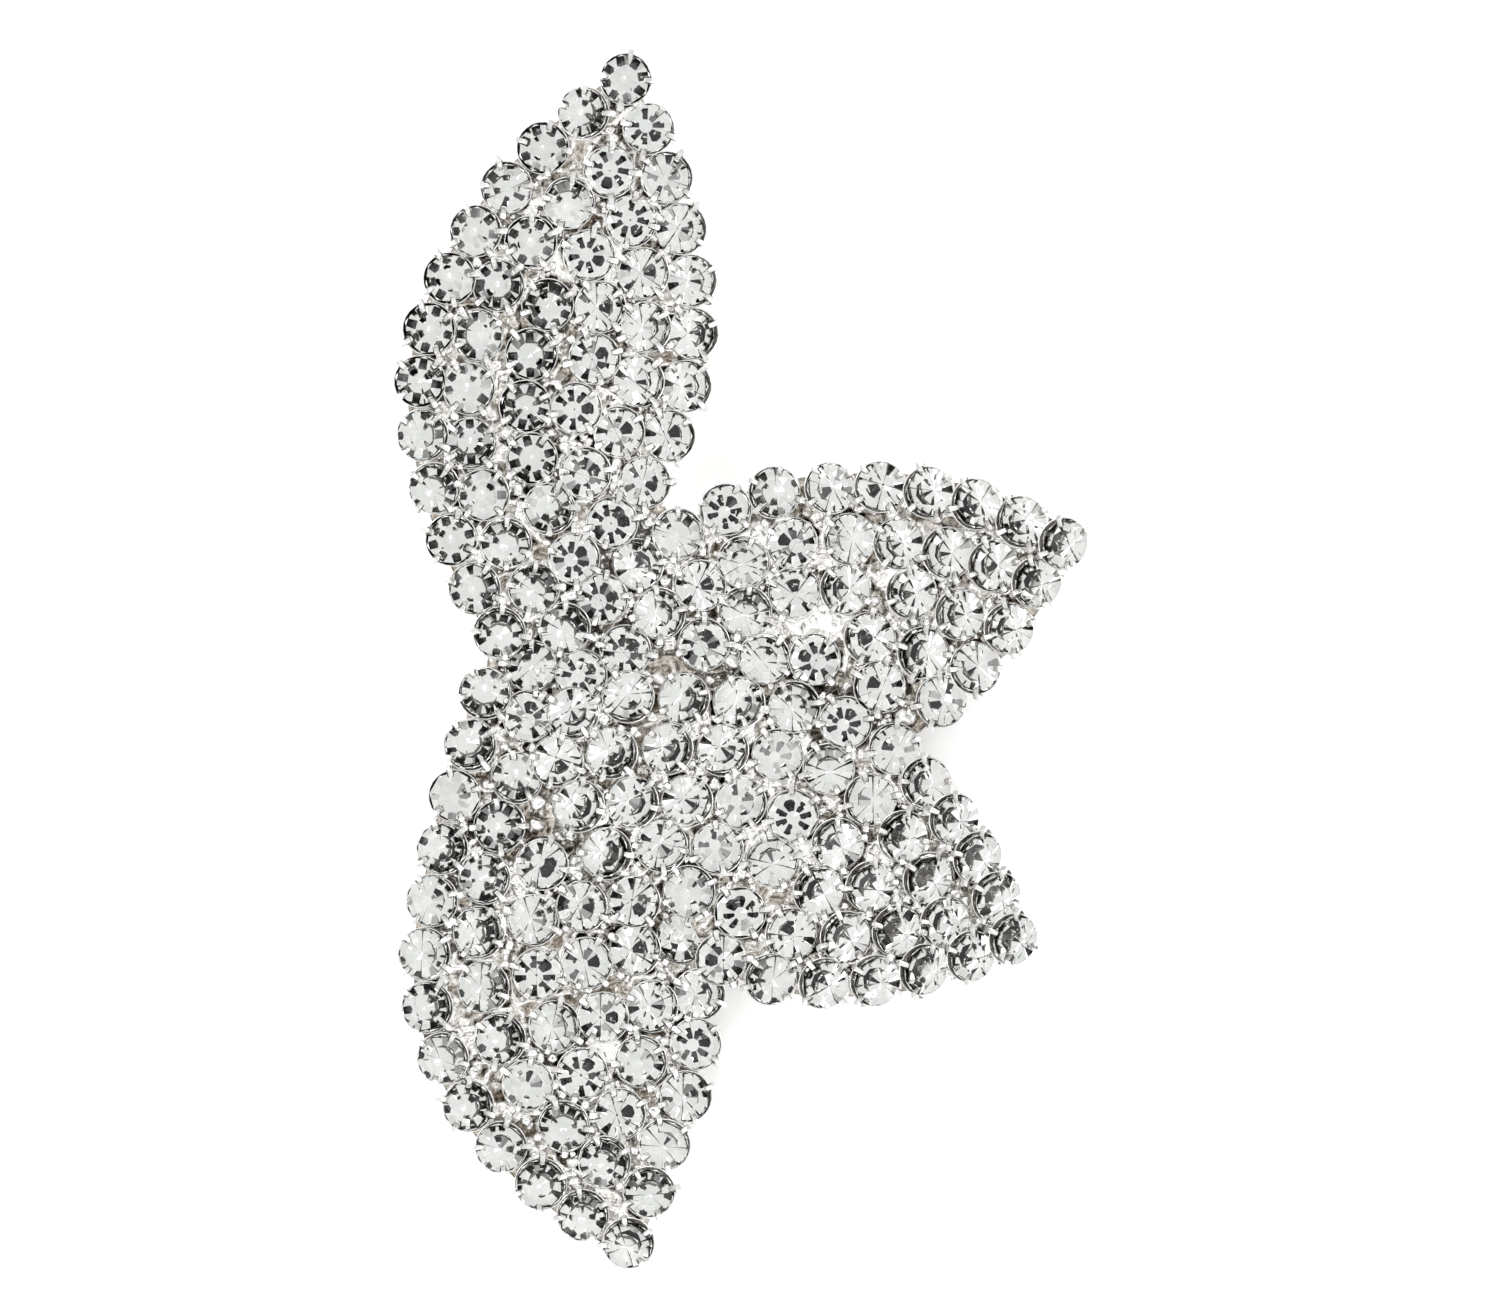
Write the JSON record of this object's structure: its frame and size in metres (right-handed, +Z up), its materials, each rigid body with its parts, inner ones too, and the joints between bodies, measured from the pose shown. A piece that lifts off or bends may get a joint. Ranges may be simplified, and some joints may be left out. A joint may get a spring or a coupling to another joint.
{
  "type": "stud earring",
  "caption": "Large half-flower stud earring: overlapping cupped leaf petals paved with round cut stones in claw cups, with a plain post and pad behind the upright petal.",
  "frame": {"origin": "centre of the bounding box's footprint, on the surface that the earring rests on", "axes": "+Z up from the surface; +Y along the flower's height, from the bottom petal to the top petal; +X towards the two side petals"},
  "size_m": [0.0428, 0.0758, 0.0201],
  "materials": {
    "silver": "polished silver plate, slightly uneven from soldering",
    "post_silver": "satin silver plate",
    "crystal": "cut clear glass with a silver foil back"
  },
  "bodies": {
    "root": {"petal_top": "silver", "petal_upper_right": "silver", "petal_lower_right": "silver", "petal_bottom": "silver", "ear_post": "post_silver"}
  },
  "joints": []
}
